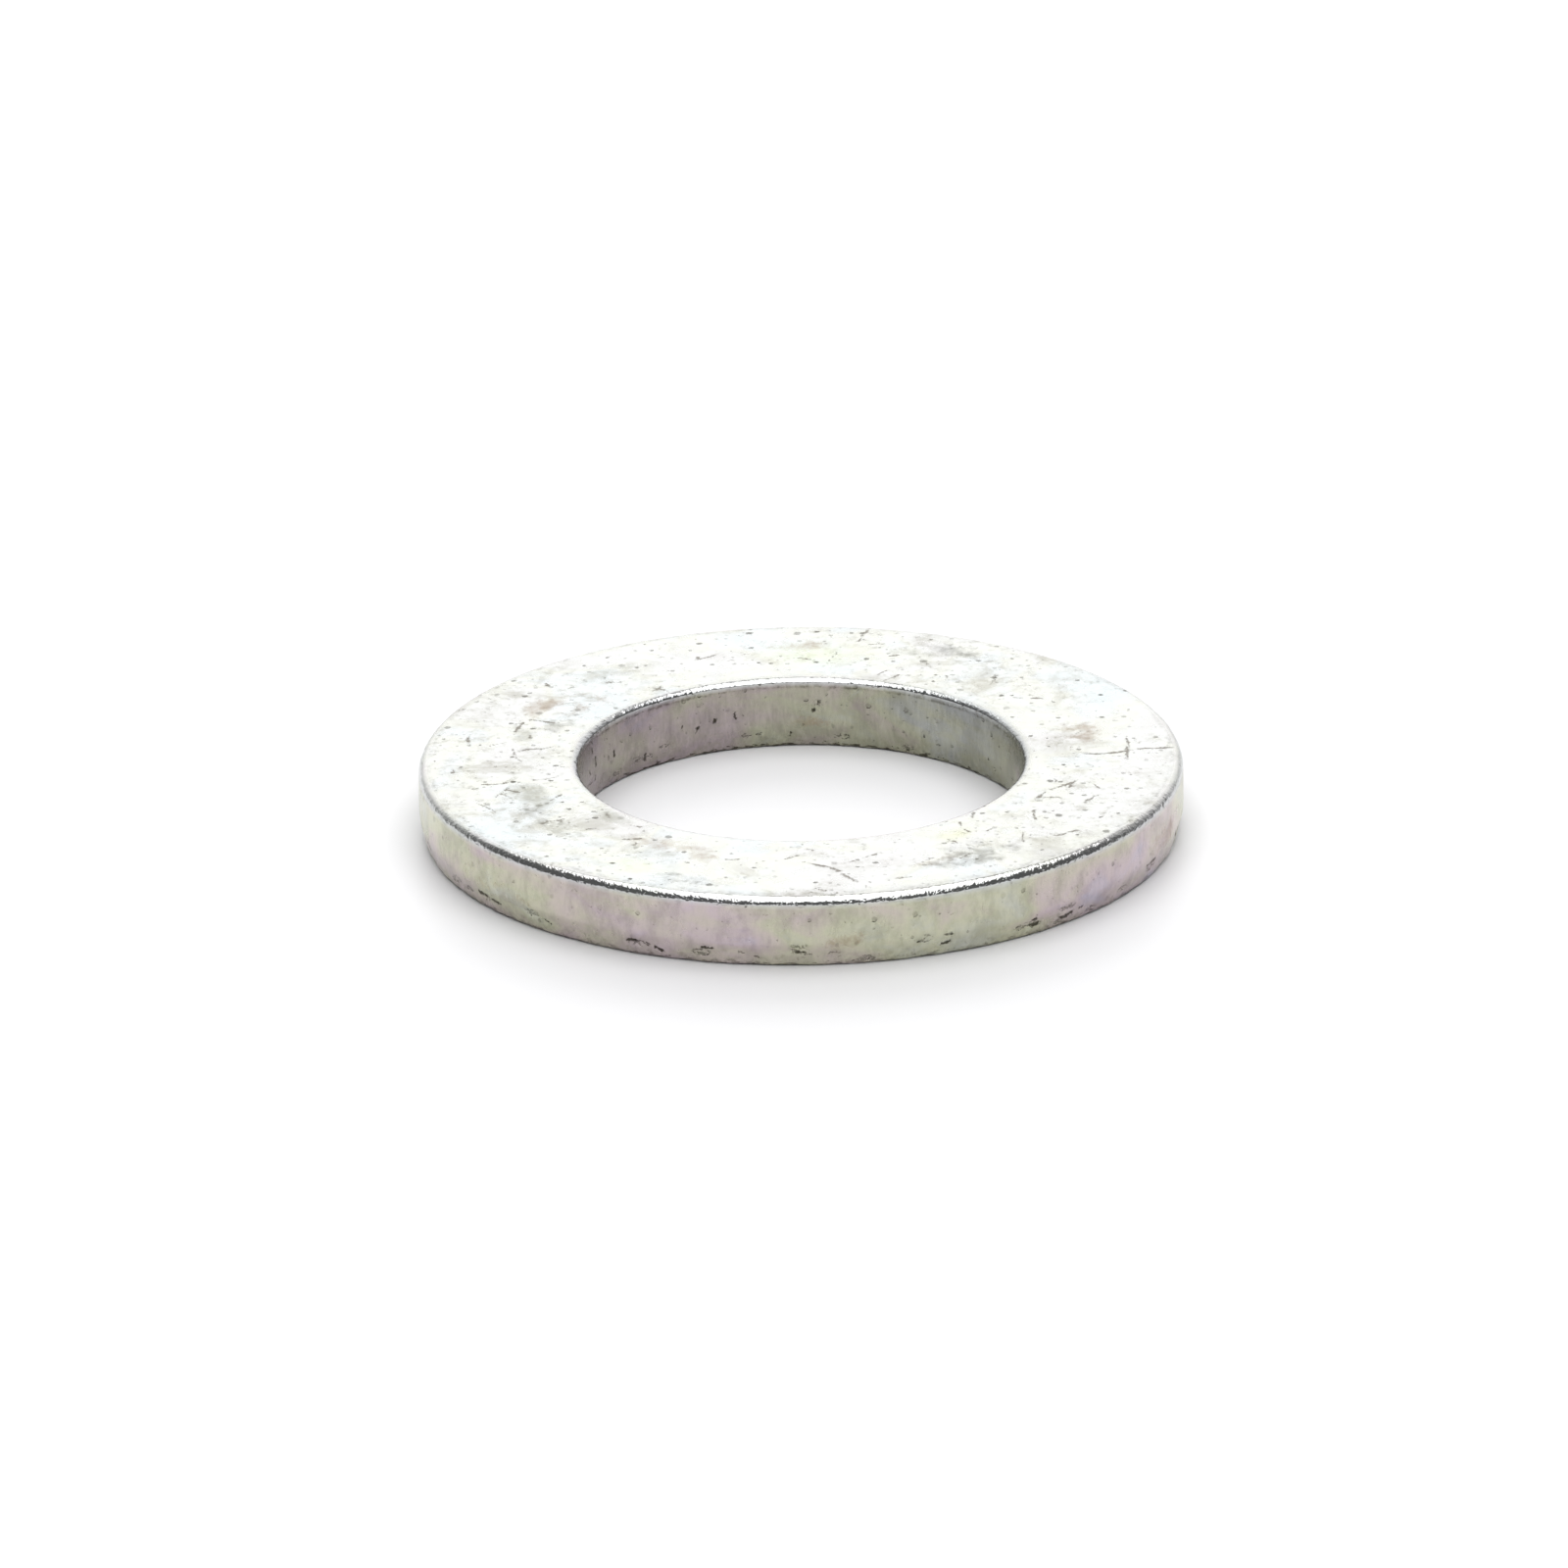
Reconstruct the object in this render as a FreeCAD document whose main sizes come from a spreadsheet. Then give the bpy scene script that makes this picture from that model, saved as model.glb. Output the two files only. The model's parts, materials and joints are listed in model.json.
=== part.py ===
import FreeCAD, Part
import os
import Sketcher

# A flat washer for an M16 bolt, product grade C: one steel ring, blanked and punched from sheet.
#
# A press makes the rim and the hole in one stroke, and the stroke gives both walls the same zones.
# From the top face down, each wall has a rolled edge, where the sheet was drawn down by the tool,
# then a smooth cylindrical land, where it was sheared, and last a torn zone, where it broke off.
# The torn zone of the rim leans inwards and that of the hole flares outwards.
#
# Frame: millimetres, +Z up, the washer lying flat with its torn side down.
# The origin is the centre of the bottom face, on the axis of the hole.

SHEET = "Sizes"
WASHER = "flat_washer"

# alias, millimetres, meaning
SIZES = [
    ("outer_diameter", 30.0, "diameter of the rim at its cylindrical land"),
    ("hole_diameter", 17.5, "diameter of the hole at its cylindrical land"),
    ("thickness", 2.9, "height from the bottom face to the top face"),
    ("rim_roll", 0.32, "radius of the rolled edge at the top of the rim"),
    ("hole_roll", 0.2, "radius of the rolled edge at the top of the hole"),
    ("torn_height", 0.9, "height of the torn zone above the bottom face"),
    ("rim_lean", 0.2, "how far the torn zone of the rim leans inwards at the bottom"),
    ("hole_flare", 0.1, "how far the torn zone of the hole flares outwards at the bottom"),
    ("edge_break", 0.06, "radius of the worn lower edges"),
]


def add_sizes(doc):
    """The sheet of driving dimensions: the meaning in column A, the number in column B."""
    sheet = doc.addObject("Spreadsheet::Sheet", SHEET)
    for row, (alias, size, meaning) in enumerate(SIZES, start=1):
        sheet.set(f"A{row}", meaning)
        sheet.set(f"B{row}", str(size))
        sheet.setAlias(f"B{row}", alias)
    doc.recompute()
    return sheet


def add_sketch(body, name, plane_role):
    """An empty sketch on one of the body's own origin planes."""
    plane = next(f for f in body.Origin.OriginFeatures if f.Role == plane_role)
    sketch = body.newObject("Sketcher::SketchObject", name)
    sketch.AttachmentSupport = [(plane, "")]
    sketch.MapMode = "FlatFace"
    return sketch


def drive(sketch, constraint, name, expression):
    """Adds a dimension to a sketch, names it and binds it to the sheet."""
    index = sketch.addConstraint(constraint)
    sketch.renameConstraint(index, name)
    sketch.setExpression(f"Constraints.{name}", expression)


def circle_sketch(body, name, sheet, diameter_alias):
    """A circle about the origin, on the bottom face."""
    sketch = add_sketch(body, name, "XY_Plane")
    diameter = sheet.get(diameter_alias)
    outline = Part.Circle(FreeCAD.Vector(0, 0, 0), FreeCAD.Vector(0, 0, 1), diameter / 2)
    circle = sketch.addGeometry(outline)
    sketch.addConstraint(Sketcher.Constraint("Coincident", circle, 3, -1, 1))
    across = Sketcher.Constraint("Diameter", circle, diameter)
    drive(sketch, across, "Across", f"{SHEET}.{diameter_alias}")
    return sketch


def tear_sketch(body, name, sheet, diameter_alias, lean_alias, inwards):
    """The wedge of metal that the torn zone of one wall lacks: a right triangle in the XZ plane.

    Its corner stands under the land, its foot lies on the bottom face, and its tip is on the wall
    at the top of the torn zone. The foot lies towards the axis if inwards is true."""
    sketch = add_sketch(body, name, "XZ_Plane")
    radius = sheet.get(diameter_alias) / 2
    lean = sheet.get(lean_alias)
    height = sheet.get("torn_height")
    corner = FreeCAD.Vector(radius, 0, 0)
    foot = FreeCAD.Vector(radius - lean if inwards else radius + lean, 0, 0)
    tip = FreeCAD.Vector(radius, height, 0)
    floor_line = sketch.addGeometry(Part.LineSegment(corner, foot))
    torn_line = sketch.addGeometry(Part.LineSegment(foot, tip))
    wall_line = sketch.addGeometry(Part.LineSegment(tip, corner))
    sketch.addConstraint(Sketcher.Constraint("Coincident", floor_line, 2, torn_line, 1))
    sketch.addConstraint(Sketcher.Constraint("Coincident", torn_line, 2, wall_line, 1))
    sketch.addConstraint(Sketcher.Constraint("Coincident", wall_line, 2, floor_line, 1))
    sketch.addConstraint(Sketcher.Constraint("PointOnObject", floor_line, 1, -1))
    sketch.addConstraint(Sketcher.Constraint("Horizontal", floor_line))
    sketch.addConstraint(Sketcher.Constraint("Vertical", wall_line))
    from_axis = Sketcher.Constraint("DistanceX", -1, 1, floor_line, 1, radius)
    drive(sketch, from_axis, "FromAxis", f"{SHEET}.{diameter_alias} / 2")
    ends = (2, 1) if inwards else (1, 2)
    across = Sketcher.Constraint("DistanceX", floor_line, ends[0], floor_line, ends[1], lean)
    drive(sketch, across, "Lean", f"{SHEET}.{lean_alias}")
    up = Sketcher.Constraint("DistanceY", wall_line, 2, wall_line, 1, height)
    drive(sketch, up, "Height", f"{SHEET}.torn_height")
    return sketch


def check_cut(before, after):
    """Stops if a feature that should take metal away left the volume as it was."""
    if not after.Shape.Volume < before.Shape.Volume:
        raise RuntimeError(f"{after.Name} cuts nothing")


def circular_edge(feature, radius, height):
    """Name of a feature's edge that is a horizontal circle of that radius at that height."""
    tolerance = 1e-6
    for number, edge in enumerate(feature.Shape.Edges, start=1):
        curve = edge.Curve
        if not isinstance(curve, Part.Circle):
            continue
        if abs(curve.Radius - radius) < tolerance and abs(curve.Center.z - height) < tolerance:
            return f"Edge{number}"
    raise RuntimeError(f"{feature.Name} has no circular edge of radius {radius} at {height}")


def add_groove(doc, body, name, sketch, base):
    """Turns a sketch once round the Z axis and takes that ring away."""
    groove = body.newObject("PartDesign::Groove", name)
    groove.Profile = sketch
    groove.ReferenceAxis = (sketch, ["V_Axis"])
    groove.Angle = 360
    doc.recompute()
    check_cut(base, groove)
    return groove


def add_fillet(doc, body, name, base, edges, radius_alias):
    """Rounds the named edges of the base feature."""
    fillet = body.newObject("PartDesign::Fillet", name)
    fillet.Base = (base, edges)
    fillet.setExpression("Radius", f"{SHEET}.{radius_alias}")
    doc.recompute()
    check_cut(base, fillet)
    return fillet


def add_washer(doc, sheet):
    """The washer: a blanked disc, its punched hole, the torn zones, the rolled and worn edges."""
    body = doc.addObject("PartDesign::Body", "Washer")
    body.Label = WASHER
    body.Placement = FreeCAD.Placement()

    blank = body.newObject("PartDesign::Pad", "Blank")
    blank.Profile = circle_sketch(body, "BlankOutline", sheet, "outer_diameter")
    blank.setExpression("Length", f"{SHEET}.thickness")
    doc.recompute()

    hole = body.newObject("PartDesign::Pocket", "PunchedHole")
    hole.Profile = circle_sketch(body, "HoleOutline", sheet, "hole_diameter")
    hole.Type = "ThroughAll"
    hole.Reversed = True
    doc.recompute()
    check_cut(blank, hole)

    rim_wedge = tear_sketch(body, "RimTearSection", sheet, "outer_diameter", "rim_lean", True)
    rim_tear = add_groove(doc, body, "RimTear", rim_wedge, hole)
    hole_wedge = tear_sketch(body, "HoleTearSection", sheet, "hole_diameter", "hole_flare", False)
    hole_tear = add_groove(doc, body, "HoleTear", hole_wedge, rim_tear)

    top = sheet.get("thickness")
    rim = sheet.get("outer_diameter") / 2
    rim_foot = rim - sheet.get("rim_lean")
    wall = sheet.get("hole_diameter") / 2
    wall_foot = wall + sheet.get("hole_flare")
    rim_top = [circular_edge(hole_tear, rim, top)]
    rim_roll = add_fillet(doc, body, "RolledRim", hole_tear, rim_top, "rim_roll")
    hole_top = [circular_edge(rim_roll, wall, top)]
    hole_roll = add_fillet(doc, body, "RolledHole", rim_roll, hole_top, "hole_roll")
    feet = [circular_edge(hole_roll, rim_foot, 0), circular_edge(hole_roll, wall_foot, 0)]
    add_fillet(doc, body, "WornEdges", hole_roll, feet, "edge_break")
    return body


def check_document(doc):
    """Stops if any object of the document failed, or a shape is missing or not valid."""
    for item in doc.Objects:
        if "Invalid" in item.State or "Error" in item.State:
            raise RuntimeError(f"{item.Name} failed: {item.State}")
        if item.isDerivedFrom("Part::Feature"):
            if item.Shape.isNull() or not item.Shape.isValid():
                raise RuntimeError(f"{item.Name} has no valid shape")


def write_steps(sub_parts):
    """One STEP file for each sub-part, named by its label."""
    os.makedirs("parts", exist_ok=True)
    for sub_part in sub_parts:
        sub_part.Shape.exportStep(os.path.join("parts", sub_part.Label + ".step"))
        box = sub_part.Shape.optimalBoundingBox()
        print(f"{sub_part.Label}: {box.XLength:.3f} x {box.YLength:.3f} x {box.ZLength:.3f} mm,"
              f" {sub_part.Shape.Volume:.2f} mm3")


def main():
    doc = FreeCAD.newDocument("FlatWasher")
    sheet = add_sizes(doc)
    washer = add_washer(doc, sheet)
    doc.recompute()
    check_document(doc)
    write_steps([washer])


main()
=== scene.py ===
import colorsys
import itertools
import json
import math

import bpy
import numpy as np
from mathutils import Matrix, Vector


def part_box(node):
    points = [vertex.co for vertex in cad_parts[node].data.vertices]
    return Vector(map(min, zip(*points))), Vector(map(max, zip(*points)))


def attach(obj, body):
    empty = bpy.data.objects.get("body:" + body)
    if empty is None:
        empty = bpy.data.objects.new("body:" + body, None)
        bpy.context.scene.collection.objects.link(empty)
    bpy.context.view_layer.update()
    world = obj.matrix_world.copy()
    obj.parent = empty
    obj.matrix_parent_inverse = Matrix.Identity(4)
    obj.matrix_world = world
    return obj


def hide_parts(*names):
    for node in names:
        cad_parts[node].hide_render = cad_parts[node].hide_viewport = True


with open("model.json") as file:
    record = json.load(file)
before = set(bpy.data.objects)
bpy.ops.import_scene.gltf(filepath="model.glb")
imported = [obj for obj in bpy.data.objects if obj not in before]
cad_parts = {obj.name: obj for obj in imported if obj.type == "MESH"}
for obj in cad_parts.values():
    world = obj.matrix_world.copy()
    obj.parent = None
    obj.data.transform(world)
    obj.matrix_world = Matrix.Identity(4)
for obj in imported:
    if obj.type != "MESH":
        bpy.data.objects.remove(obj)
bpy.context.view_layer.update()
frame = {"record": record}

# A zinc-plated flat washer. The CAD solid gives its size; this script gives it the skin of a real
# stamped washer: rolled upper edges, torn lower walls, and a stained, pitted, iridescent plating.
# Sizes are in millimetres until the mesh is made, and angles in degrees, anticlockwise from +X.
# The camera stands on the -Y side, so 270 is the front of the rim and 90 the far wall of the hole.

WASHER = "flat_washer"
MM = 0.001

NODE_LOW, NODE_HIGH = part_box(WASHER)
BOLT_HOLE = next(m for m in frame["record"]["mounts"] if m["name"] == "bolt_hole")

RIM = (NODE_HIGH.x - NODE_LOW.x) / 2 / MM
TOP = NODE_HIGH.z / MM
WALL = BOLT_HOLE["dims"]["r_mm"]
TORN = BOLT_HOLE["pos_m"][2] / MM - BOLT_HOLE["dims"]["length_mm"] / 2
# How far the torn foot of each wall draws back from the wall.
RIM_LEAN = 0.2
HOLE_FLARE = 0.1
# The section starts and ends here, in the middle of the bottom face.
SEAM = (RIM + WALL) / 2
# How many times the section is repeated round the axis.
TURNS = 688


# ---------------------------------------------------------------- numbers

def smoothstep(low, high, value):
    share = np.clip((value - low) / (high - low), 0, 1)
    return share * share * (3 - 2 * share)


HASH_FACTORS = np.array([73856093, 19349663, 83492791])
HASH_SEED_STEP = 97531
HASH_STIR = 1274126177


def lattice_value(corner, seed):
    """A repeatable random number from -1 to 1 for each whole-numbered corner of a lattice."""
    key = corner @ HASH_FACTORS + seed * HASH_SEED_STEP
    key = (key ^ (key >> 13)) * HASH_STIR
    key = key ^ (key >> 16)
    return (key & 0xFFFF) / 0xFFFF * 2 - 1


def noise(points, size, seed):
    """Smooth noise from -1 to 1, with bumps of about that size, at each row of points."""
    cell = points / size
    corner = np.floor(cell).astype(np.int64)
    part = cell - corner
    part = part * part * (3 - 2 * part)
    total = np.zeros(len(points))
    for step in itertools.product((0, 1), repeat=3):
        weight = np.prod(np.where(step, part, 1 - part), axis=1)
        total += weight * lattice_value(corner + np.array(step), seed)
    return total


# ---------------------------------------------------------------- section of the ring

def level_run(start, end, height, count):
    """Points along a level face, its ends left out."""
    radii = np.linspace(start, end, count + 2)[1:-1]
    return [(radius, height) for radius in radii]


def wall_run(start, end, count):
    """Points along a straight wall between two (radius, height) points, both included."""
    shares = np.linspace(0, 1, count)
    return [tuple(np.array(start) + share * (np.array(end) - np.array(start))) for share in shares]


def rolled_edge(arcs):
    """(inward, up) offsets along tangent arcs that lead from a wall up to the top face.

    Each arc is its radius, the tilt of its normal from +Z where it starts and where it ends,
    and its number of points. The start of the first arc is left out."""
    inward, up, points = 0.0, 0.0, []
    for radius, start, end, count in arcs:
        tilts = np.radians(np.linspace(start, end, count + 1))
        for before, after in zip(tilts[:-1], tilts[1:]):
            inward += radius * (math.sin(before) - math.sin(after))
            up += radius * (math.cos(after) - math.cos(before))
            points.append((inward, up))
    return points


def worn_corner(centre, radius, start, end, count):
    """Points on the small arc of a worn lower edge."""
    turns = np.radians(np.linspace(start, end, count))
    return [(centre[0] + radius * math.cos(a), centre[1] + radius * math.sin(a)) for a in turns]


# The arcs of each rolled upper edge, from the wall up, as rolled_edge takes them.
RIM_ROLL = [(0.38, 90, 54, 8), (0.36, 54, 6, 10), (7.0, 6, 0, 6)]
HOLE_ROLL = [(0.05, 90, 54, 2), (0.34, 54, 5, 8), (5.0, 5, 0, 4)]
# The radius of the worn lower edges.
WORN = 0.06
# How far in from the rim the painted grey line of shade at the start of its roll lies, and that line's
# half width.
ROLL_SHADE_INSET = 0.44
ROLL_SHADE_WIDTH = 0.09


def ring_section():
    """The ring's section as (radius, height) points, from the middle of the bottom face outwards,
    up the rim, over the top and down the hole. It is closed, and its last point isn't repeated."""
    rim_foot = RIM - RIM_LEAN
    wall_foot = WALL + HOLE_FLARE
    rim_roll = rolled_edge(RIM_ROLL)
    hole_roll = rolled_edge(HOLE_ROLL)
    rim_land = TOP - rim_roll[-1][1]
    hole_land = TOP - hole_roll[-1][1]
    section = [(SEAM, 0.0)]
    section += level_run(SEAM, rim_foot - WORN, 0.0, 3)
    section += worn_corner((rim_foot - WORN, WORN), WORN, -90, -12, 5)
    section += wall_run((rim_foot + 0.01, WORN * 1.2), (RIM, TORN), 14)
    section += wall_run((RIM, TORN), (RIM, rim_land), 14)[1:]
    section += [(RIM - inward, rim_land + up) for inward, up in rim_roll]
    section += level_run(RIM - rim_roll[-1][0], WALL + hole_roll[-1][0], TOP, 43)
    section += [(WALL + inward, hole_land + up) for inward, up in reversed(hole_roll)]
    section += wall_run((WALL, hole_land), (WALL, TORN), 12)
    section += wall_run((WALL, TORN), (wall_foot - 0.005, WORN * 1.2), 9)[1:]
    section += worn_corner((wall_foot + WORN, WORN), WORN, 186, 270, 4)
    section += level_run(wall_foot + WORN, SEAM, 0.0, 3)
    return np.array(section)


# ---------------------------------------------------------------- marks on the surface

# Most marks are random. The few that stand out have a place as one would say it: the hour on a
# clock seen from above, with 6 at the front, and the share of the way from the hole to the rim.
BROWN_PLACES = [(12, 0.6), (10, 0.5), (7, 0.3)]
GREY_PLACES = [(1, 0.7), (8, 0.5)]
YELLOW_PLACES = [(7, 0.7)]
SCRATCH_PLACES = [(3, 0.4), (6, 0.4)]
WORN_HOURS = [1, 4, 8, 9, 10]

# About how far apart the most torn places of the lower rim are, in degrees.
TORN_STEP = 15

SCRATCH_SEED = 21
GOUGE_SEED = 5
NICK_SEED = 9
TEAR_SEED = 8
TORN_SEED = 4
STAIN_SEED = 17

# The wall film's broad changes in thickness, and the size of those patches.
FILM_SWING = 0.28
FILM_PATCH = 6.0


def hour_angle(hour):
    """The angle of an hour on a clock that has 12 at the back."""
    return 90 - 30 * hour


def ring_radius(share):
    """The radius that is this share of the way from the hole to the rim."""
    return WALL + share * (RIM - WALL)


# Each is its angle, radius, half length along the ring, half width across it, and strength.
WORN_AREAS = [(hour_angle(hour), ring_radius(0.5), 5.0, 3.0, 0.9) for hour in WORN_HOURS]


def ring_stains(places, more, random):
    """Stains at the places given and at some random ones: angle, radius, half length along the
    ring, half width across it, and strength."""
    anywhere = [(random.uniform(0, 12), random.uniform(0.15, 0.85)) for _ in range(more)]
    stains = []
    for hour, share in places + anywhere:
        half_length = random.uniform(0.6, 1.7)
        half_width = half_length * random.uniform(0.35, 0.65)
        strength = random.uniform(0.6, 1.0)
        stains.append((hour_angle(hour), ring_radius(share), half_length, half_width, strength))
    return stains


def wall_stains(count, random):
    """Stains at random places on a wall: angle, height, half length, half height, strength."""
    stains = []
    for _ in range(count):
        angle, height = random.uniform(0, 360), random.uniform(0.4, 2.5)
        half_length = random.uniform(0.5, 1.5)
        half_height = random.uniform(0.2, 0.6)
        stains.append((angle, height, half_length, half_height, random.uniform(0.4, 1.0)))
    return stains


def torn_places():
    """Where the lower rim is most torn, in degrees from the front."""
    random = np.random.default_rng(TORN_SEED)
    steps = np.arange(-180, 180, TORN_STEP)
    return steps + random.uniform(-0.4, 0.4, len(steps)) * TORN_STEP


def arc_gap(angles, angle, radius):
    """Distance along a circle from an angle to each of many angles."""
    return ((angles - angle + 180) % 360 - 180) * math.pi / 180 * radius


def patch(along, across, half_length, half_width):
    """1 in the middle of a soft-edged oval patch, 0 outside it."""
    return smoothstep(1, 0.1, np.hypot(along / half_length, across / half_width))


def stain_field(stains, angles, places, radius=None):
    """The strongest stain at each point. A place is a radius on the top and a height on a wall."""
    field = np.zeros(len(angles))
    for angle, place, half_length, half_width, strength in stains:
        along = arc_gap(angles, angle, radius or place)
        spot = strength * patch(along, places - place, half_length * 2.1, half_width * 2.1)
        field = np.maximum(field, spot)
    return field


def mark_field(lines, places):
    """1 on any of the lines, fading out just beside them. A line is two flat ends and a half
    width."""
    field = np.zeros(len(places))
    for start, end, half_width in lines:
        along = end - start
        offset = places - start
        share = np.clip(offset @ along / (along @ along), 0, 1)
        gap = np.linalg.norm(offset - share[:, None] * along, axis=1)
        field = np.maximum(field, smoothstep(half_width + 0.10, half_width - 0.03, gap))
    return field


def wandering_line(random, start, heading, length, half_width):
    """A broken, wandering scratch, as short straight lines."""
    step = min(0.35, length / 2)
    lines = []
    here = np.array(start, float)
    for _ in range(round(length / step)):
        heading += random.uniform(-18, 18)
        turn = math.radians(heading)
        there = here + step * np.array([math.cos(turn), math.sin(turn)])
        if random.uniform() > 0.18:
            lines.append((here, there, half_width * random.uniform(0.5, 1.2)))
        here = there
    return lines


def top_scratches():
    """The long scratches and small random ones, thickest in the worn areas, seen from above."""
    random = np.random.default_rng(SCRATCH_SEED)
    scratches = []
    for hour, share in SCRATCH_PLACES:
        heading, length = random.uniform(-40, -10), random.uniform(3.5, 5.5)
        scratches.append((hour_angle(hour), ring_radius(share), heading, length, 0.06))
    for _ in range(5):
        angle, heading = random.uniform(0, 360, 2)
        place = ring_radius(random.uniform(0.3, 0.7))
        scratches.append((angle, place, heading, random.uniform(1.5, 3.0), 0.05))
    for angle, radius, half_length, half_width, strength in WORN_AREAS:
        for _ in range(round(9 * strength)):
            near = angle + math.degrees(random.uniform(-1, 1) * half_length / radius)
            place = radius + random.uniform(-0.7, 0.7) * half_width
            scratches.append((near, place, random.uniform(0, 360), random.uniform(0.3, 1.3), 0.03))
    for _ in range(26):
        place = random.uniform(WALL + 0.6, RIM - 0.6)
        angle, heading = random.uniform(0, 360, 2)
        scratches.append((angle, place, heading, random.uniform(0.3, 1.6), 0.025))
    lines = []
    for angle, radius, heading, length, half_width in scratches:
        turn = math.radians(angle)
        start = (radius * math.cos(turn), radius * math.sin(turn))
        lines += wandering_line(random, start, heading, length, half_width)
    return lines


def rim_gouges():
    """Short dark gouges in the torn zone, gathered round the torn places, on the rim laid flat."""
    random = np.random.default_rng(GOUGE_SEED)
    lines = []
    for place in torn_places():
        for _ in range(random.integers(1, 4)):
            along = math.radians(place + random.uniform(-3, 3)) * RIM
            start = (along, random.uniform(0.35, TORN))
            length = random.uniform(0.2, 0.7)
            half_width = random.uniform(0.015, 0.05)
            lines += wandering_line(random, start, random.uniform(-14, 14), length, half_width)
    return lines


def hole_gouges():
    """Short, mostly upright nicks on the hole's wall laid flat."""
    random = np.random.default_rng(NICK_SEED)
    lines = []
    for _ in range(46):
        start = (math.radians(random.uniform(-180, 180)) * WALL, random.uniform(0.3, 2.5))
        heading = random.normal(90, 35)
        lines += wandering_line(random, start, heading, random.uniform(0.1, 0.32), 0.03)
    return lines


def torn_pockets(random):
    """A larger torn pocket at each torn place of the rim."""
    pockets = []
    for place in torn_places():
        half_width = random.uniform(0.25, 0.65)
        height = random.uniform(0.4, 0.85)
        pockets.append((place, height, half_width, random.uniform(0.08, 0.18), 0.05))
    return pockets


def random_tears(count, random):
    """Small torn pockets at random places along a wall."""
    tears = []
    for _ in range(count):
        angle = random.uniform(0, 360)
        height = random.uniform(0.08, 0.85)
        half_width = random.uniform(0.08, 0.34)
        tears.append((angle, height, half_width, half_width * random.uniform(0.2, 0.45), 0.03))
    return tears


def tear_field(tears, angles, heights, radius):
    """(how torn, how deep) at each point of a wall."""
    torn = np.zeros(len(angles))
    depth = np.zeros(len(angles))
    for angle, height, half_width, half_height, deepest in tears:
        along = arc_gap(angles, angle, radius)
        spot = patch(along, heights - height, half_width * 1.7, half_height * 2.0)
        torn = np.maximum(torn, spot)
        depth = np.maximum(depth, deepest * spot)
    return torn, depth


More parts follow.
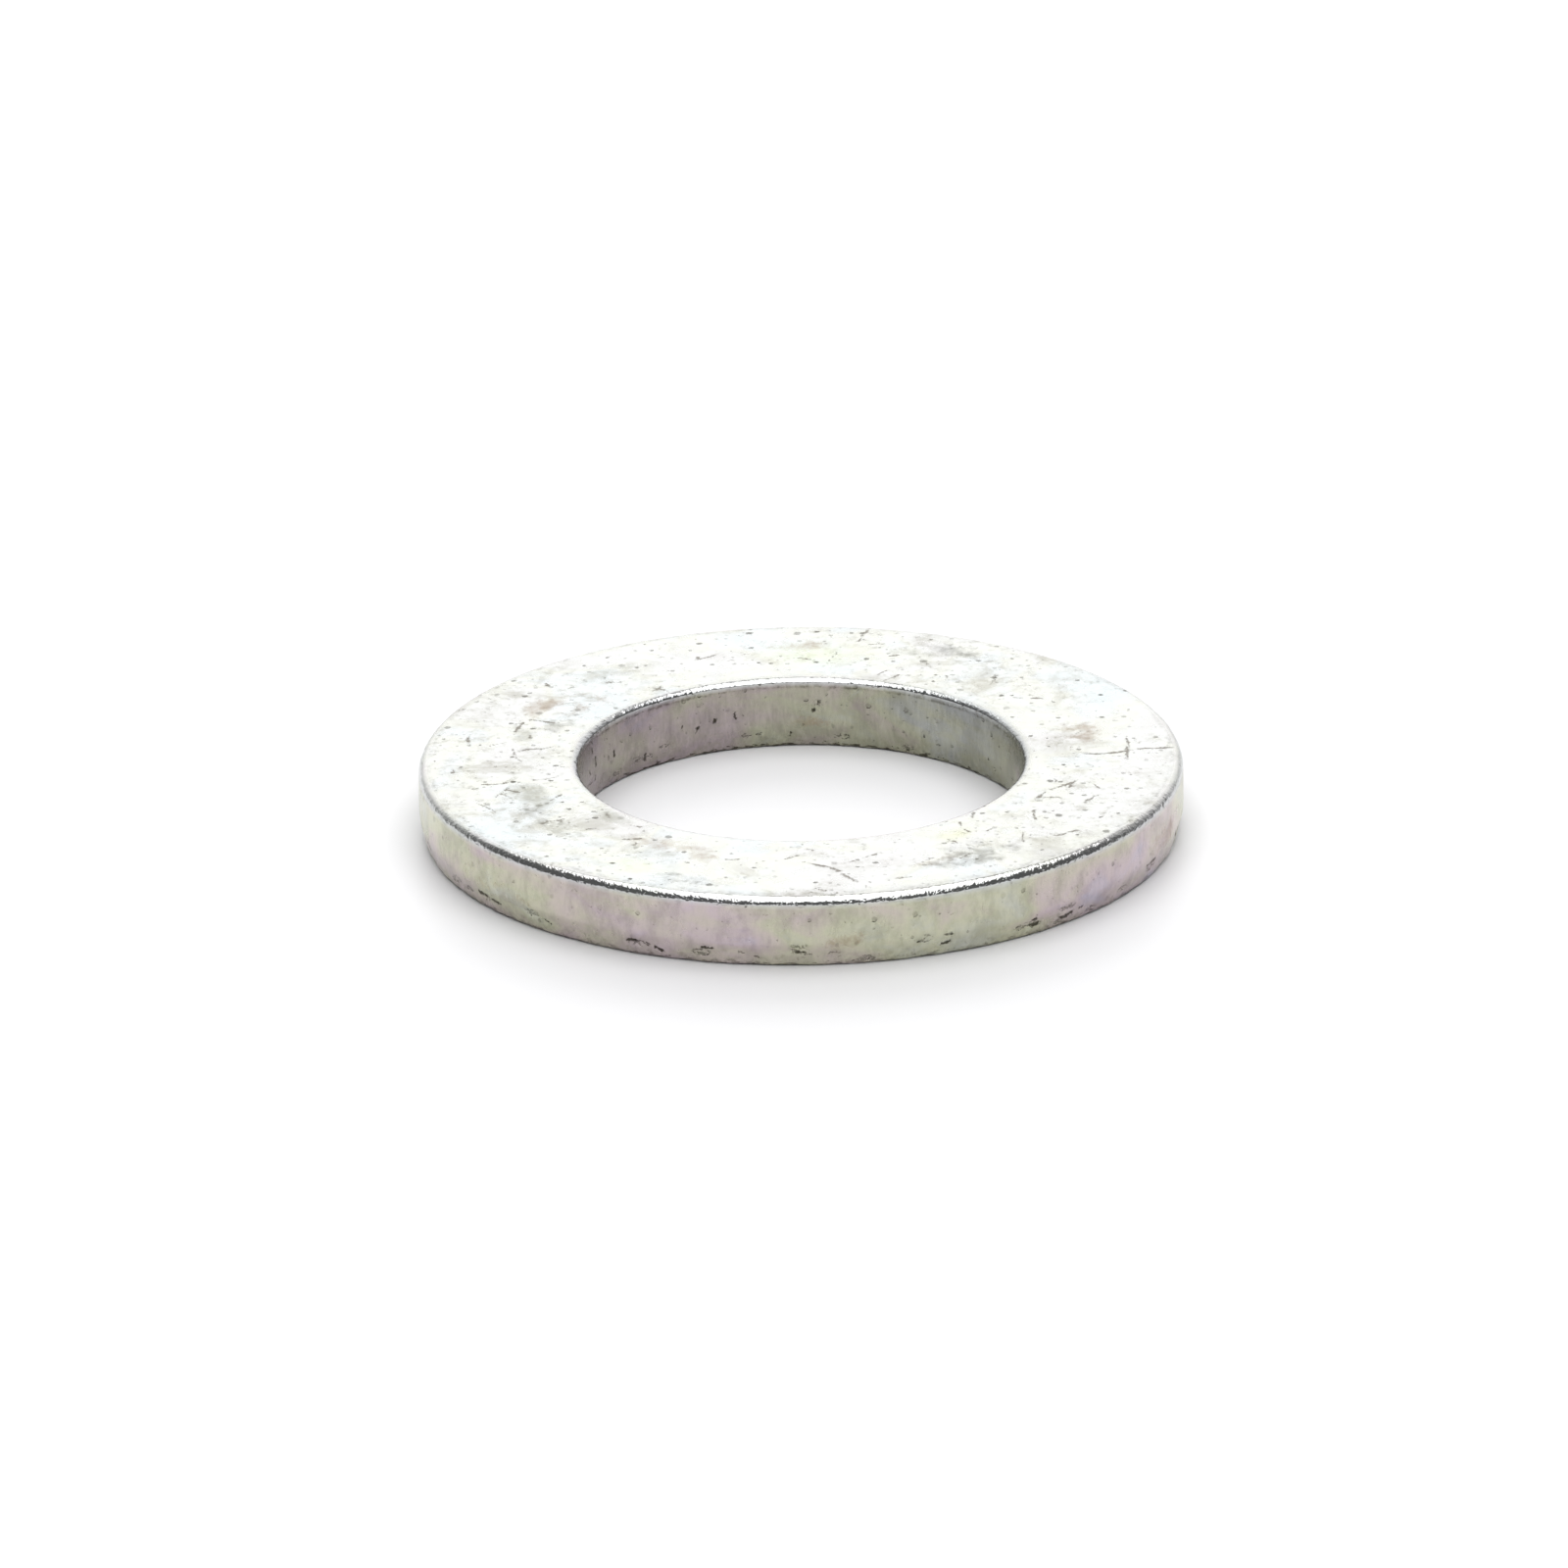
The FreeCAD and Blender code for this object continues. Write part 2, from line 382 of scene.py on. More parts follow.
def sculpt(points):
    """Moves the points of the plain ring to the stamped shape.

    Returns them with the fields that the material reads at each point."""
    radii = np.hypot(points[:, 0], points[:, 1])
    heights = points[:, 2]
    angles = np.degrees(np.arctan2(points[:, 1], points[:, 0])) % 360
    from_front = (angles - 270 + 180) % 360 - 180
    from_back = (90 - angles + 180) % 360 - 180
    outward = np.column_stack([points[:, 0] / radii, points[:, 1] / radii, np.zeros(len(radii))])

    is_rim = smoothstep(RIM - 0.42, RIM - 0.02, radii + 0.16 * (heights < 1))
    is_hole = smoothstep(WALL + 0.42, WALL + 0.02, radii - 0.1 * (heights < 1))
    is_top = smoothstep(TOP - 0.3, TOP - 0.12, heights) * (1 - is_rim) * (1 - is_hole)
    low = smoothstep(TORN + 0.25, TORN - 0.35, heights)
    rim_roll = is_rim * smoothstep(TOP - 0.5, TOP - 0.3, heights)
    hole_roll = is_hole * smoothstep(TOP - 0.3, TOP - 0.15, heights)

    random = np.random.default_rng(TEAR_SEED)
    rim_tears = torn_pockets(random) + random_tears(26, random)
    rim_torn, rim_depth = tear_field(rim_tears, from_front, heights, RIM)
    hole_torn, hole_depth = tear_field(random_tears(24, random), from_back, heights, WALL)

    along = points * np.array([1, 1, 0.35])
    ragged = 0.5 + 0.5 * noise(along, 0.34, 11)
    coarse = 0.5 + 0.5 * noise(along, 1.3, 12)
    wobble = 0.5 + 0.5 * noise(points, 7.0, 13)
    dimple = noise(points, 0.7, 14) + 0.5 * noise(points, 0.33, 15)

    inward_rim = is_rim * (0.012 * wobble + low * (0.035 * ragged + 0.03 * coarse) + rim_depth)
    inward_rim += rim_roll * 0.012 * (1 + dimple / 1.5)
    inward_hole = is_hole * (0.010 * wobble + low * (0.03 * ragged + 0.02 * coarse) + hole_depth)
    inward_hole += hole_roll * 0.010 * (1 + dimple / 1.5)
    push = outward * (inward_hole - inward_rim)[:, None]

    sag = is_top * (0.0035 * (1 + noise(points, 4.5, 16)) + 0.0012 * (1 + noise(points, 1.4, 17)))
    sag += (rim_roll + hole_roll) * 0.008 * (1 + dimple / 1.5)
    lift = smoothstep(0.2, 0.0, heights) * (is_rim + is_hole) * 0.03 * ragged
    push[:, 2] = lift - sag

    stained = np.random.default_rng(STAIN_SEED)
    brown = is_top * stain_field(ring_stains(BROWN_PLACES, 4, stained), angles, radii)
    brown += is_rim * stain_field(wall_stains(9, stained), from_front, heights, RIM)
    brown += is_hole * stain_field(wall_stains(6, stained), from_back, heights, WALL)
    grey = is_top * stain_field(ring_stains(GREY_PLACES, 3, stained), angles, radii)
    yellow = is_top * stain_field(ring_stains(YELLOW_PLACES, 2, stained), angles, radii)
    haze = is_top * stain_field(ring_stains([], 9, stained), angles, radii)
    # A painted grey line of shade where the top face starts to roll over at the rim.
    crease = np.exp(-((RIM - ROLL_SHADE_INSET - radii) / ROLL_SHADE_WIDTH) ** 2) * (heights > TOP - 0.2)
    film = (is_rim + is_hole) * FILM_SWING * noise(points, FILM_PATCH, 18)
    top_marks = mark_field(top_scratches(), points[:, :2])
    rim_flat = np.column_stack([arc_gap(from_front, 0, RIM), heights])
    hole_flat = np.column_stack([arc_gap(from_back, 0, WALL), heights])
    wall_marks = is_rim * mark_field(rim_gouges(), rim_flat)
    wall_marks += is_hole * mark_field(hole_gouges(), hole_flat)
    fields = {
        "top_mark": top_marks * (1 - is_rim) * (1 - is_hole),
        "wall_mark": wall_marks,
        "rim_wall": is_rim,
        "hole_wall": is_hole,
        "film": film,
        "crease": crease,
        "brown": brown,
        "grey": grey,
        "yellow": yellow,
        "haze": haze,
        "worn": stain_field(WORN_AREAS, angles, radii),
        "torn": is_rim * rim_torn + is_hole * hole_torn,
        "roll": rim_roll + hole_roll,
    }
    return points + push, fields


# ---------------------------------------------------------------- the washer's mesh

def ring_points(section):
    """The section turned round the axis: one row of points for each angle."""
    turn = np.arange(TURNS) * 2 * math.pi / TURNS
    x = np.outer(np.cos(turn), section[:, 0])
    y = np.outer(np.sin(turn), section[:, 0])
    z = np.outer(np.ones(TURNS), section[:, 1])
    return np.stack([x, y, z], axis=2).reshape(-1, 3)


def ring_faces(count):
    """Quads between neighbouring rows and neighbouring points of a section of count points."""
    row, column = np.meshgrid(np.arange(TURNS), np.arange(count), indexing="ij")
    next_row = (row + 1) % TURNS
    next_column = (column + 1) % count
    corners = [
        row * count + column,
        next_row * count + column,
        next_row * count + next_column,
        row * count + next_column,
    ]
    return np.stack(corners, axis=2).reshape(-1, 4)


def ring_uvs(section):
    """The unrolled skin as two half rings, one above the other, with a little room round each."""
    room = 0.004
    steps = np.linalg.norm(np.roll(section, -1, axis=0) - section, axis=1)
    lengths = np.concatenate([[0], np.cumsum(steps)]) / steps.sum()
    count = len(section)
    row, column = np.meshgrid(np.arange(TURNS), np.arange(count), indexing="ij")
    half = row // (TURNS // 2)
    place = row % (TURNS // 2)
    uvs = []
    for turn_step, section_step in ((0, 0), (1, 0), (1, 1), (0, 1)):
        u = (place + turn_step) / (TURNS // 2)
        v = lengths[column + section_step]
        u = room + (1 - 2 * room) * u
        v = half * 0.5 + room + (0.5 - 2 * room) * v
        uvs.append(np.stack([u, v], axis=2))
    return np.stack(uvs, axis=2).reshape(-1, 2)


def make_washer():
    section = ring_section()
    points, fields = sculpt(ring_points(section))
    mesh = bpy.data.meshes.new("washer_skin")
    mesh.from_pydata((points * MM).tolist(), [], ring_faces(len(section)).tolist())
    mesh.polygons.foreach_set("use_smooth", np.ones(len(mesh.polygons), bool))
    layer = mesh.uv_layers.new(name="OFBake")
    layer.data.foreach_set("uv", ring_uvs(section).ravel())
    for name, values in fields.items():
        attribute = mesh.attributes.new(name, "FLOAT", "POINT")
        attribute.data.foreach_set("value", values.astype(np.float32))
    mesh.update()
    washer = bpy.data.objects.new("washer_skin", mesh)
    bpy.context.scene.collection.objects.link(washer)
    return washer


# ---------------------------------------------------------------- node helpers

class Tree:
    """Adds nodes to one node tree and joins them. An input may be a socket or a plain value."""

    def __init__(self, tree):
        self.tree = tree
        tree.nodes.clear()

    def node(self, kind, inputs=(), **settings):
        made = self.tree.nodes.new(kind)
        for name, value in settings.items():
            setattr(made, name, value)
        for key, value in dict(inputs).items():
            if isinstance(value, bpy.types.NodeSocket):
                self.tree.links.new(value, made.inputs[key])
            else:
                made.inputs[key].default_value = value
        return made

    def math(self, operation, *values, clamp=False):
        inputs = dict(enumerate(values))
        made = self.node("ShaderNodeMath", inputs, operation=operation, use_clamp=clamp)
        return made.outputs[0]

    def add(self, first, *others):
        total = first
        for other in others:
            total = self.math("ADD", total, other)
        return total

    def times(self, first, *others):
        product = first
        for other in others:
            product = self.math("MULTIPLY", product, other)
        return product

    def most(self, first, *others):
        largest = first
        for other in others:
            largest = self.math("MAXIMUM", largest, other)
        return largest

    def rest(self, value):
        """1 less the value."""
        return self.math("SUBTRACT", 1.0, value)

    def span(self, value, low, high, to_low=0.0, to_high=1.0):
        """Maps low..high to to_low..to_high smoothly, and holds the ends outside it."""
        inputs = {"Value": value, "From Min": low, "From Max": high,
                  "To Min": to_low, "To Max": to_high}
        made = self.node("ShaderNodeMapRange", inputs, interpolation_type="SMOOTHSTEP")
        return made.outputs["Result"]

    def mix(self, share, first, second, blend="MIX"):
        made = self.node("ShaderNodeMix", data_type="RGBA", blend_type=blend)
        sockets = {s.identifier: s for s in made.inputs}
        chosen = {"Factor_Float": share, "A_Color": first, "B_Color": second}
        for key, value in chosen.items():
            if isinstance(value, bpy.types.NodeSocket):
                self.tree.links.new(value, sockets[key])
            else:
                sockets[key].default_value = value if key == "Factor_Float" else (*value, 1)
        return next(s for s in made.outputs if s.identifier == "Result_Color")

    def ramp(self, share, stops):
        """A colour ramp: stops are (place from 0 to 1, colour)."""
        made = self.node("ShaderNodeValToRGB", {"Fac": share})
        elements = made.color_ramp.elements
        while len(elements) < len(stops):
            elements.new(0.5)
        for element, (place, colour) in zip(elements, stops):
            element.position = place
            element.color = (*colour, 1)
        return made.outputs["Color"]

    def noise(self, place, size, detail=2.0, rough=0.5, warp=0.0):
        inputs = {"Vector": place, "Scale": 1 / size, "Detail": detail,
                  "Roughness": rough, "Distortion": warp}
        return self.node("ShaderNodeTexNoise", inputs).outputs["Fac"]

    def scale(self, vector, factors):
        inputs = {0: vector, 1: factors}
        return self.node("ShaderNodeVectorMath", inputs, operation="MULTIPLY").outputs[0]

    def joined(self, x, y):
        return self.node("ShaderNodeCombineXYZ", {"X": x, "Y": y}).outputs[0]

    def choose(self, share, first, second):
        """The first vector where share is 0 and the second where it is 1."""
        made = self.node("ShaderNodeMix", data_type="VECTOR")
        sockets = {s.identifier: s for s in made.inputs}
        for key, value in {"Factor_Float": share, "A_Vector": first, "B_Vector": second}.items():
            self.tree.links.new(value, sockets[key])
        return next(s for s in made.outputs if s.identifier == "Result_Vector")

    def jitter(self, place, size, reach):
        """A small random shift that changes over about that size."""
        inputs = {"Vector": place, "Scale": 1 / size, "Detail": 2.0}
        colour = self.node("ShaderNodeTexNoise", inputs).outputs["Color"]
        centred = self.node("ShaderNodeVectorMath", {0: colour, 1: (0.5, 0.5, 0.5)},
                            operation="SUBTRACT").outputs[0]
        return self.scale(centred, (reach, reach, reach))

    def shifted(self, place, shift):
        inputs = {0: place, 1: shift}
        return self.node("ShaderNodeVectorMath", inputs, operation="ADD").outputs[0]

    def field(self, name):
        """A number that the mesh holds at each point."""
        made = self.node("ShaderNodeAttribute", attribute_type="GEOMETRY", attribute_name=name)
        return made.outputs["Fac"]


def srgb(red, green, blue):
    """A screen colour from 0 to 255 as linear light."""
    shares = np.array([red, green, blue]) / 255
    linear = np.where(shares <= 0.04045, shares / 12.92, ((shares + 0.055) / 1.055) ** 2.4)
    return tuple(float(x) for x in linear)


def film_tint(hue, strength):
    """The film's colour as linear light."""
    screen = colorsys.hsv_to_rgb(hue / 360, strength, FILM_BRIGHTNESS)
    return srgb(*(255 * value for value in screen))


# ---------------------------------------------------------------- zinc plating

# The passivation film as it thickens, from 0 to 1: its hue round the colour wheel in degrees and
# how strong the tint is. It goes from clear through straw, tan, rose and violet to green.
FILM_HUES = [
    (0.00, 210, 0.03), (0.30, 60, 0.12), (0.45, 30, 0.09),
    (0.60, 345, 0.07), (0.75, 270, 0.07), (0.90, 120, 0.03),
]
FILM_BRIGHTNESS = 0.80
# The film's mean thickness on that scale, and how much the finer patches change it.
FILM_MIDDLE = 0.42
FILM_SPREAD = 1.15
# The hole's wall is painted darker than the rim, as painted shade inside the hole.
HOLE_PAINTED_SHADE = 0.69


def pits(tree, flat, cell, share, radius, crowding):
    """(round pits, how dark each is), at most one in each cell of that size."""
    inputs = {"Vector": flat, "Scale": 1 / cell}
    cells = tree.node("ShaderNodeTexVoronoi", inputs, voronoi_dimensions="2D", feature="F1")
    random = tree.node("ShaderNodeSeparateColor", {"Color": cells.outputs["Color"]})
    size = tree.math("MULTIPLY_ADD", random.outputs["Red"], 0.6, 0.4)
    near = tree.math("DIVIDE", cells.outputs["Distance"], tree.times(size, radius / cell))
    present = tree.math("LESS_THAN", random.outputs["Green"], tree.times(crowding, share))
    dark = tree.math("MULTIPLY_ADD", random.outputs["Blue"], 0.8, 0.2)
    return tree.times(tree.span(near, 1.0, 0.5), present, dark)


def top_film(tree, place):
    """The thin, nearly clear film on the top face."""
    return tree.ramp(tree.noise(place, 4.2, 3.0, 0.6, 0.4), [
        (0.30, srgb(218, 226, 228)), (0.42, srgb(223, 227, 227)), (0.50, srgb(225, 226, 218)),
        (0.58, srgb(225, 226, 224)), (0.72, srgb(221, 220, 219)),
    ])


def wall_film(tree, place, flat, hole):
    """The thicker film on the walls, in patches with wandering borders and drawn-out grain, with painted
    shade on the hole's wall.
    """
    wander = tree.add(tree.noise(tree.scale(place, (1, 1, 2.2)), 3.6, 4.0, 0.55, 0.5), -0.5)
    thickness = tree.add(tree.math("MULTIPLY_ADD", wander, FILM_SPREAD, FILM_MIDDLE), tree.field("film"))
    tint = tree.ramp(thickness, [(share, film_tint(hue, tint)) for share, hue, tint in FILM_HUES])
    # Painted shade: the hole's wall is darkened. The cloud and grain below vary the tone at random.
    shade = tree.span(hole, 0, 1, 1.0, HOLE_PAINTED_SHADE)
    cloud = tree.noise(tree.scale(place, (1, 1, 0.6)), 1.0, 5.0, 0.7)
    shade = tree.times(shade, tree.span(cloud, 0.34, 0.60, 0.78, 0.99))
    grain = tree.add(tree.noise(tree.scale(flat, (1, 0.2, 1)), 0.14, 3.0, 0.7), -0.5)
    grain = tree.add(tree.times(grain, tree.span(hole, 0, 1, 0.20, 0.50)), 1.0)
    return tree.mix(1.0, tint, tree.times(shade, grain), "MULTIPLY")


def stain(tree, name, fray):
    """A stain field with a torn outline and an uneven middle."""
    field = tree.field(name)
    body = tree.span(tree.add(tree.times(field, 1.3), fray), 0.35, 1.7)
    return tree.times(body, tree.span(field, 0.0, 0.35))


ROLL_TINT = srgb(214, 217, 219)
YELLOW_TINT = srgb(222, 225, 168)
SMEAR_TINT = srgb(162, 159, 144)
DIRT_TINT = srgb(142, 139, 124)
HAZE_TINT = srgb(154, 154, 138)
LOW_WALL_DARK_TINT = srgb(116, 113, 92)
# The colour of the painted line of shade where the top starts to roll over.
ROLL_SHADE_TINT = srgb(128, 128, 123)
BROWN_TINT = srgb(152, 128, 104)
GREY_TINT = srgb(116, 116, 108)
PIT_TINT = srgb(88, 85, 74)
SCRATCH_TINT = srgb(100, 90, 74)
# The colour of the gouges, the cracks, the broken dark line at the foot, and the painted shade under the
# rolled edges.
DARK_MARK_AND_SHADE_TINT = srgb(66, 62, 50)
# How much of the flat top's light is scattered rather than mirrored.
TOP_SCATTER = 0.42


def zinc_plating():
    material = bpy.data.materials.new("zinc_plating")
    material.use_nodes = True
    tree = Tree(material.node_tree)

    here = tree.node("ShaderNodeTexCoord").outputs["Object"]
    place = tree.scale(here, (1 / MM, 1 / MM, 1 / MM))
    parts = tree.node("ShaderNodeSeparateXYZ", {"Vector": place})
    x, y, z = (parts.outputs[axis] for axis in "XYZ")
    rim, hole = tree.field("rim_wall"), tree.field("hole_wall")
    on_rim = tree.math("GREATER_THAN", rim, 0.5)
    on_hole = tree.math("GREATER_THAN", hole, 0.5)
    wall = tree.most(rim, hole)
    face = tree.rest(wall)
    torn, roll, worn = (tree.field(name) for name in ("torn", "roll", "worn"))

    # The surface laid flat: x and y on the top, and arc length and height on a wall.
    rim_angle = tree.math("ARCTAN2", x, tree.times(y, -1.0))
    hole_angle = tree.math("ARCTAN2", x, y)
    flat = tree.joined(x, y)
    flat = tree.choose(on_rim, flat, tree.joined(tree.times(rim_angle, RIM), z))
    flat = tree.choose(on_hole, flat, tree.joined(tree.times(hole_angle, WALL), z))

    # The same places shifted a little here and there, so that no mark has a ruled edge.
    place_shake = tree.jitter(place, 0.35, 0.3)
    flat_shake = tree.jitter(place, 0.16, 0.16)
    shaken = tree.shifted(place, place_shake)
    rough_flat = tree.shifted(flat, flat_shake)

    colour = tree.mix(wall, top_film(tree, place), wall_film(tree, place, flat, on_hole))
    colour = tree.mix(tree.times(roll, 0.8), colour, ROLL_TINT)

    # Soft dirt and stains, each broken up by a coarse and a fine noise; also the walls darkened towards
    # the bottom and a painted grey line of shade at the start of the rim's roll.
    speckle = tree.noise(shaken, 0.5, 5.0, 0.8)
    fray = tree.noise(shaken, 1.3, 8.0, 0.78, 0.4)
    fray = tree.math("MULTIPLY_ADD", fray, 4.2, -3.0)
    fray = tree.math("MULTIPLY_ADD", speckle, 1.8, fray)
    crowd = tree.most(worn, tree.span(tree.noise(place, 3.0, 2.0, 0.5), 0.42, 0.7))
    dirty = tree.span(crowd, 0, 1, 0.20, 1.0)
    dirt = tree.times(tree.span(speckle, 0.50, 0.70), dirty, face)
    smear = tree.noise(shaken, 2.2, 8.0, 0.76, 0.6)
    smear = tree.times(tree.span(smear, 0.49, 0.66), dirty)
    haze, brown, grey = (stain(tree, name, fray) for name in ("haze", "brown", "grey"))
    yellow = tree.times(tree.field("yellow"), tree.span(speckle, 0.3, 0.7, 0.4, 1.0))
    colour = tree.mix(tree.times(yellow, 0.6), colour, YELLOW_TINT)
    colour = tree.mix(tree.times(smear, face, 0.62), colour, SMEAR_TINT)
    colour = tree.mix(tree.times(dirt, 0.50), colour, DIRT_TINT)
    colour = tree.mix(tree.times(haze, 0.60), colour, HAZE_TINT)
    # The walls are darkened in specks towards the bottom.
    low_wall_dark = tree.times(tree.span(z, 0.9, 0.1), tree.span(speckle, 0.44, 0.66), wall)
    colour = tree.mix(tree.times(low_wall_dark, 0.45), colour, LOW_WALL_DARK_TINT)
    # The painted grey line of shade at the start of the rim's roll, broken by speckle.
    crease = tree.times(tree.field("crease"), tree.span(speckle, 0.42, 0.64))
    colour = tree.mix(tree.times(crease, 0.4), colour, ROLL_SHADE_TINT)
    colour = tree.mix(tree.times(brown, 0.62), colour, BROWN_TINT)
    colour = tree.mix(tree.times(grey, 0.72), colour, GREY_TINT)

    # Pits.
    crowding = tree.span(crowd, 0, 1, 0.45, 1.0)
    tiny = tree.times(pits(tree, rough_flat, 0.36, 0.30, 0.07, crowding), 0.6)
    small = pits(tree, rough_flat, 0.8, 0.42, 0.13, crowding)
    large = pits(tree, rough_flat, 1.7, 0.5, 0.19, crowding)
    pit = tree.times(tree.most(tiny, small, large), tree.span(wall, 0, 1, 1.0, 0.45))

    # Scratches and cracks.
    ragged = tree.math("MULTIPLY_ADD", tree.noise(shaken, 0.13, 3.0, 0.7), 2.0, -1.0)
    patchy = tree.math("MULTIPLY_ADD", tree.noise(place, 0.5, 3.0, 0.7), 1.8, -1.0)
    scratched = tree.span(tree.add(tree.field("top_mark"), ragged, patchy), 0.34, 0.9)
    marked = tree.span(tree.add(tree.field("wall_mark"), ragged), 0.48, 0.80)
    crack = tree.noise(tree.scale(shaken, (1, 1, 2)), 0.36, 3.0, 0.6)
    crack = tree.math("ABSOLUTE", tree.add(crack, -0.5))
    crack = tree.times(tree.span(crack, 0.05, 0.012), tree.span(torn, 0.25, 0.6))
    chip = tree.most(marked, tree.times(crack, 0.5))

    # Dark along the edges: a broken dark line at the foot, and painted shade in specks under the rolled
    # edge.
    foot_noise = tree.noise(tree.scale(flat, (1, 3, 1)), 0.42, 4.0, 0.65)
    foot_height = tree.span(foot_noise, 0.4, 0.7, 0.03, 0.22)
    foot = tree.times(tree.span(tree.math("SUBTRACT", z, foot_height), 0.03, -0.02), wall)
    foot = tree.times(foot, tree.span(foot_noise, 0.42, 0.58))
    # Painted shade in specks on the walls just under the rolled edges, standing in for their dark
    # reflection.
    under_roll_shade = tree.times(tree.span(z, TOP - 0.62, TOP - 0.36), wall)
    under_roll_shade = tree.span(tree.times(under_roll_shade, tree.noise(shaken, 0.4, 4.0, 0.7)), 0.40, 0.62)
    under_roll_shade = tree.times(under_roll_shade, tree.rest(roll))
    foot = tree.times(foot, tree.span(on_hole, 0, 1, 0.55, 0.95))
    dark = tree.most(chip, foot, tree.times(under_roll_shade, 0.6))

    colour = tree.mix(tree.times(pit, 0.85), colour, PIT_TINT)
    colour = tree.mix(tree.times(scratched, 0.85), colour, SCRATCH_TINT)
    colour = tree.mix(tree.times(dark, 0.88), colour, DARK_MARK_AND_SHADE_TINT)

    rough = tree.math("MULTIPLY_ADD", tree.noise(place, 0.9, 3.0, 0.6), 0.22, 0.14)
    rough = tree.add(rough, tree.times(tree.most(brown, grey, haze), 0.15))
    rough = tree.math("MULTIPLY", rough, tree.math("MULTIPLY_ADD", roll, -0.5, 1.0))
    rough = tree.math("MAXIMUM", rough, tree.times(tree.most(pit, dark), 0.6))

    height = tree.times(tree.noise(place, 0.11, 2.0, 0.6), 0.005)
    height = tree.add(height, tree.times(tree.noise(place, 0.35, 2.0, 0.5), 0.012))
    height = tree.add(height, tree.times(tree.noise(place, 0.24, 2.0, 0.6), roll, 0.055))
    height = tree.add(height, tree.times(pit, -0.03), tree.times(scratched, -0.012),
                      tree.times(chip, -0.04))
    bump = tree.node("ShaderNodeBump", {"Height": height, "Strength": 1.0, "Distance": MM})

    # The flat top's film and dust scatter light. The polished rolls and the walls stay metallic.
    metal = tree.math("MULTIPLY_ADD", tree.times(face, tree.rest(roll)), -TOP_SCATTER, 1.0)

    shader = tree.node("ShaderNodeBsdfPrincipled", {
        "Base Color": colour, "Metallic": metal, "Roughness": rough,
        "Normal": bump.outputs["Normal"],
    })
    tree.node("ShaderNodeOutputMaterial", {"Surface": shader.outputs["BSDF"]})
    return material


# ---------------------------------------------------------------- stage

FLOOR_HALF = 3.0
FLOOR_GAP = 0.02 * MM


def make_floor():
    half = FLOOR_HALF
    mesh = bpy.data.meshes.new("floor")
    corners = [(-half, -half, 0), (half, -half, 0), (half, half, 0), (-half, half, 0)]
    mesh.from_pydata(corners, [], [(0, 1, 2, 3)])
    floor = bpy.data.objects.new("floor", mesh)
    floor.location.z = NODE_LOW.z - FLOOR_GAP
    bpy.context.scene.collection.objects.link(floor)
    material = bpy.data.materials.new("floor_paint")
    material.use_nodes = True
    shader = material.node_tree.nodes["Principled BSDF"]
    shader.inputs["Base Color"].default_value = (0.80, 0.80, 0.81, 1)
    shader.inputs["Roughness"].default_value = 0.4
    shader.inputs["Specular IOR Level"].default_value = 0.5
    mesh.materials.append(material)


ROOM_LIGHT = 0.12
PANEL_LIGHT = 2.15
BACK_WALL_LIGHT = 1.22
SIDE_GLOW = 0.7


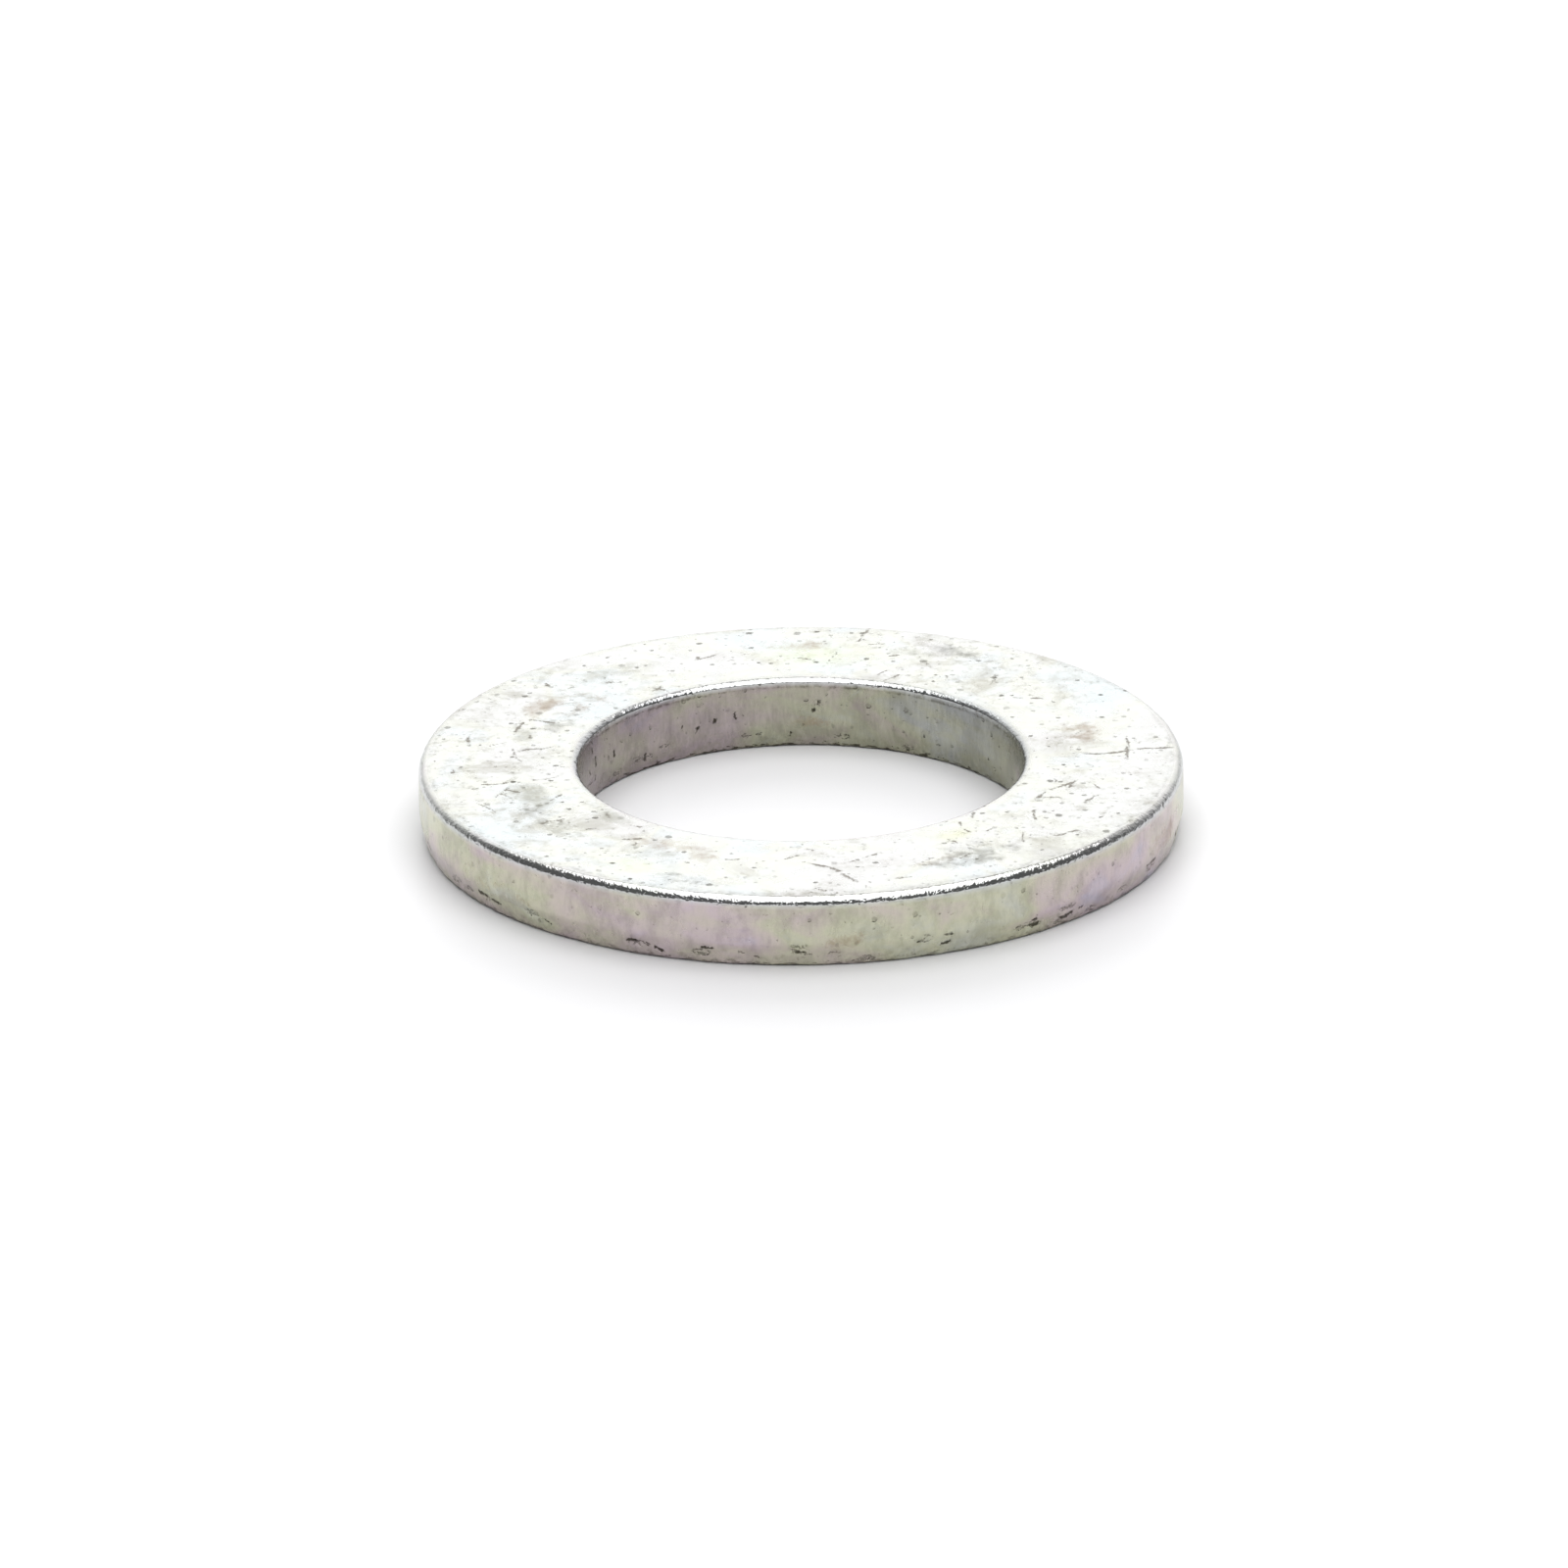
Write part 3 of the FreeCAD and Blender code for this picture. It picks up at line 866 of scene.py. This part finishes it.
def make_world():
    """A dark room lit by a big soft panel overhead and a bright wall behind the washer.

    The camera itself sees plain white."""
    world = bpy.data.worlds.new("studio")
    bpy.context.scene.world = world
    world.use_nodes = True
    tree = Tree(world.node_tree)
    direction = tree.node("ShaderNodeTexCoord").outputs["Generated"]
    parts = tree.node("ShaderNodeSeparateXYZ", {"Vector": direction})
    x, y, z = (parts.outputs[axis] for axis in "XYZ")

    # The panel is a rounded rectangle on a ceiling at height 1.
    ceiling = tree.most(z, 0.05)
    panel_x = tree.math("DIVIDE", tree.add(tree.math("DIVIDE", x, ceiling), -0.09), 0.73)
    panel_y = tree.math("DIVIDE", tree.add(tree.math("DIVIDE", y, ceiling), 0.20), 0.95)
    spread = tree.add(tree.math("POWER", tree.math("ABSOLUTE", panel_x), 4.0),
                      tree.math("POWER", tree.math("ABSOLUTE", panel_y), 4.0))
    panel = tree.times(tree.span(spread, 1.6, 0.6), tree.span(z, 0.1, 0.3))

    level = tree.math("SQRT", tree.add(tree.times(x, x), tree.times(y, y), 1e-6))
    toward_back = tree.math("DIVIDE", y, level, clamp=True)
    toward_left = tree.math("DIVIDE", tree.times(x, -1.0), level)
    back = tree.times(tree.math("POWER", toward_back, 3.0), tree.span(z, 0.68, 0.54),
                      tree.span(z, 0.02, 0.24, 0.5, 1.0))
    glow = tree.times(tree.span(toward_back, 0.6, 0.85), tree.span(toward_left, -0.1, 0.3),
                      tree.span(z, 0.5, 0.6), tree.span(z, 0.85, 0.7))
    strength = tree.add(ROOM_LIGHT, tree.times(panel, PANEL_LIGHT),
                        tree.times(back, BACK_WALL_LIGHT), tree.times(glow, SIDE_GLOW))
    studio = tree.node("ShaderNodeBackground", {"Color": (1, 1, 1, 1), "Strength": strength})
    plain = tree.node("ShaderNodeBackground", {"Color": (1, 1, 1, 1), "Strength": 1.0})
    seen = tree.node("ShaderNodeLightPath").outputs["Is Camera Ray"]
    mixed = tree.node("ShaderNodeMixShader", {0: seen, 1: studio.outputs[0], 2: plain.outputs[0]})
    tree.node("ShaderNodeOutputWorld", {"Surface": mixed.outputs[0]})


BACK_LIGHT_SIZE = (1.8, 0.7)
BACK_LIGHT_PLACE = (0.0, 1.2, 0.75)
BACK_LIGHT_WATTS = 7.0


def make_back_light():
    """A soft light behind the washer that is kept out of reflections."""
    light = bpy.data.lights.new("back_light", "AREA")
    light.shape = "RECTANGLE"
    light.size, light.size_y = BACK_LIGHT_SIZE
    light.energy = BACK_LIGHT_WATTS
    lamp = bpy.data.objects.new("back_light", light)
    lamp.location = BACK_LIGHT_PLACE
    lamp.rotation_euler = (-lamp.location).to_track_quat("-Z", "Y").to_euler()
    lamp.visible_camera = False
    lamp.visible_glossy = False
    bpy.context.scene.collection.objects.link(lamp)


# The camera's height in degrees, its distance, the point that it looks at, its roll in degrees,
# and its sensor and lens in millimetres.
ELEVATION = 21.24
DISTANCE = 40.6 * RIM * MM
AIM = Vector((-0.67, 0.0, 1.78)) * MM
ROLL = 0.74
SENSOR = 36.0
LENS = 356.0


def make_camera():
    data = bpy.data.cameras.new("camera")
    data.sensor_width = SENSOR
    data.lens = LENS
    data.clip_start = 0.01
    camera = bpy.data.objects.new("camera", data)
    tilt = math.radians(ELEVATION)
    place = Vector((0, -math.cos(tilt), math.sin(tilt))) * DISTANCE
    camera.location = place
    turn = (AIM - place).to_track_quat("-Z", "Y").to_matrix()
    camera.rotation_euler = (turn @ Matrix.Rotation(math.radians(-ROLL), 3, "Z")).to_euler()
    bpy.context.scene.collection.objects.link(camera)
    bpy.context.scene.camera = camera


washer = make_washer()
washer.data.materials.append(zinc_plating())
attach(washer, "root")
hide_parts(WASHER)
make_floor()
make_world()
make_back_light()
make_camera()
bpy.context.scene.view_settings.view_transform = "Standard"
